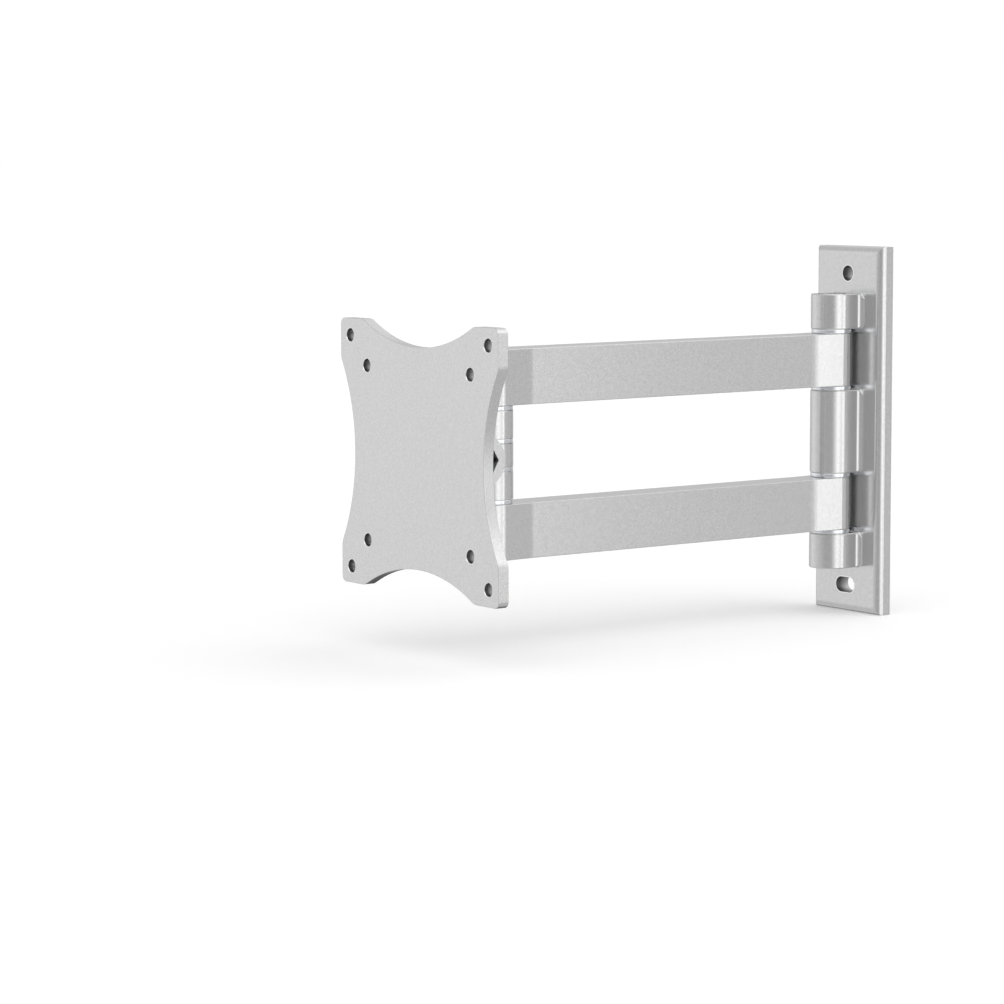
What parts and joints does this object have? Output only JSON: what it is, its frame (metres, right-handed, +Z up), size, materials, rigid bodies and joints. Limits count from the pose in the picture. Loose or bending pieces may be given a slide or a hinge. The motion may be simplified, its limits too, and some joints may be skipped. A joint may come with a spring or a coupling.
{
  "type": "full motion tv wall mount",
  "caption": "Wall bracket with parallel swing arms, a swivelling head block and a tilting square screen plate with hollow sides.",
  "frame": {"origin": "centre of the wall bracket's back face, on the wall", "axes": "+Z up, +Y into the wall, screen on the -Y side, +X to the right of someone who faces the wall"},
  "size_m": [0.1146, 0.2493, 0.169],
  "materials": {
    "satin_silver": "fine-grained satin silver coating on cast aluminium",
    "bright_steel": "ground",
    "zinc_steel": "bright zinc plated",
    "spring_steel": "dark, oiled",
    "polished_washer": "polished",
    "bearing_plastic": "matte"
  },
  "bodies": {
    "wall": {"wall_bracket": "satin_silver", "wall_pivot_pin": "bright_steel", "wall_pin_screws": "zinc_steel", "wall_pin_end_washers": "zinc_steel", "wall_washer_top": "polished_washer", "wall_washer_upper": "polished_washer", "wall_washer_lower": "polished_washer", "wall_washer_bottom": "polished_washer"},
    "arms": {"upper_arm": "satin_silver", "lower_arm": "satin_silver", "upper_arm_bush": "bearing_plastic", "lower_arm_bush": "bearing_plastic", "head_pivot_pin": "bright_steel", "head_pin_screws": "zinc_steel", "head_pin_end_washers": "zinc_steel", "head_washer_top": "polished_washer", "head_washer_upper": "polished_washer", "head_washer_lower": "polished_washer", "head_washer_bottom": "polished_washer", "upper_spacer": "satin_silver", "lower_spacer": "satin_silver"},
    "head": {"head_block": "satin_silver", "head_block_bush": "bearing_plastic", "tilt_bush_left": "bearing_plastic", "tilt_bush_right": "bearing_plastic"},
    "screen_plate": {"vesa_plate": "satin_silver", "tilt_bolt": "zinc_steel", "tilt_spring_washer": "spring_steel", "tilt_nut": "zinc_steel", "tilt_friction_washer_left": "bearing_plastic", "tilt_friction_washer_right": "bearing_plastic"}
  },
  "joints": [
    {"name": "arm_swing", "type": "hinge", "parent": "wall", "child": "arms", "pos_m": [0, -0.0173, 0], "axis": [0, 0, 1], "range_deg": [-90, 90]},
    {"name": "head_swivel", "type": "hinge", "parent": "arms", "child": "head", "pos_m": [0, -0.2108, 0], "axis": [0, 0, 1], "range_deg": [-90, 90]},
    {"name": "screen_tilt", "type": "hinge", "parent": "head", "child": "screen_plate", "pos_m": [0, -0.2326, 0], "axis": [1, 0, 0], "range_deg": [-20, 20]}
  ]
}
